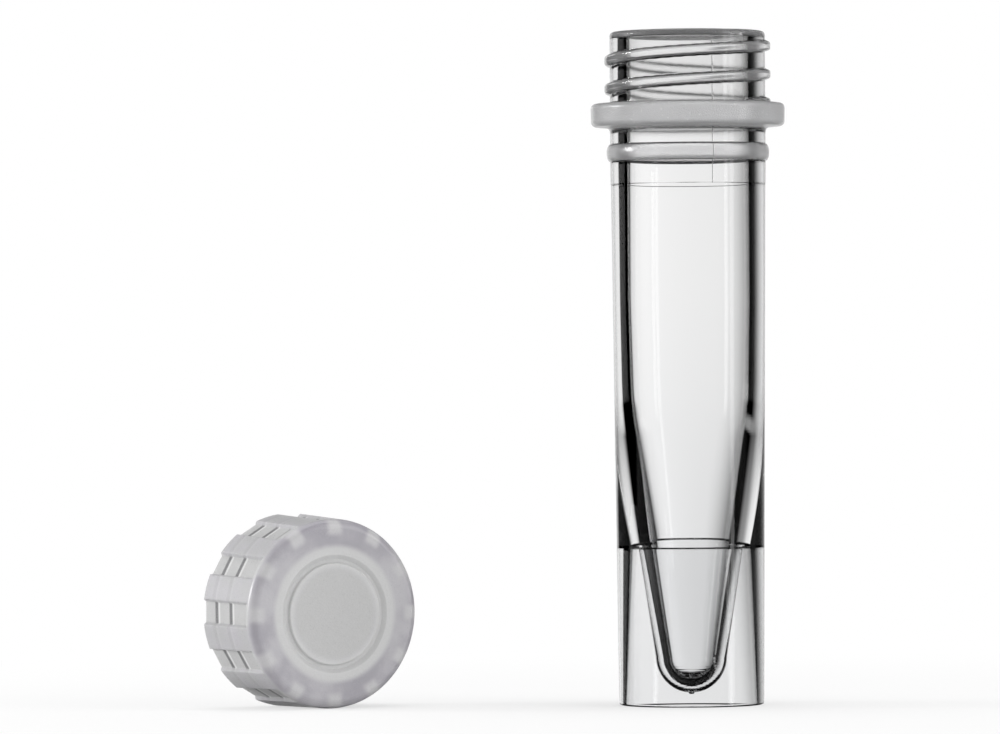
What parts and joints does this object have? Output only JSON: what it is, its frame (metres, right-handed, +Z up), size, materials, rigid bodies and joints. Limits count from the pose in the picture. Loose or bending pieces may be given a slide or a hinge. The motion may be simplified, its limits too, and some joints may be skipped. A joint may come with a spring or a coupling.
{
  "type": "screw-cap microcentrifuge tube",
  "caption": "Self-standing clear micro tube with a threaded neck, collar and conical inside, and its ribbed screw cap with sealing ring lying beside it.",
  "frame": {"origin": "centre of the tube's foot, on the surface that it stands on", "axes": "+Z up along the tube's axis to its mouth; -Y towards the viewer; the cap lies on the -X side"},
  "size_m": [0.0391, 0.013, 0.045],
  "materials": {
    "clear_polypropylene": "clear, glossy",
    "natural_polypropylene": "translucent, satin",
    "silicone": "smooth, pale"
  },
  "bodies": {
    "tube": {"tube": "clear_polypropylene"},
    "seal": {"o_ring": "silicone"},
    "cap": {"cap": "natural_polypropylene"}
  },
  "joints": [
    {"name": "cap_lift", "type": "slide", "parent": "tube", "child": "seal", "axis": [0, 0, 1], "range_m": [0, 0.029]},
    {"name": "cap_turn", "type": "hinge", "parent": "seal", "child": "cap", "pos_m": [-0.0254, 0, 0.00637], "axis": [0.4999, -0.8658, -0.0201], "continuous": true}
  ]
}
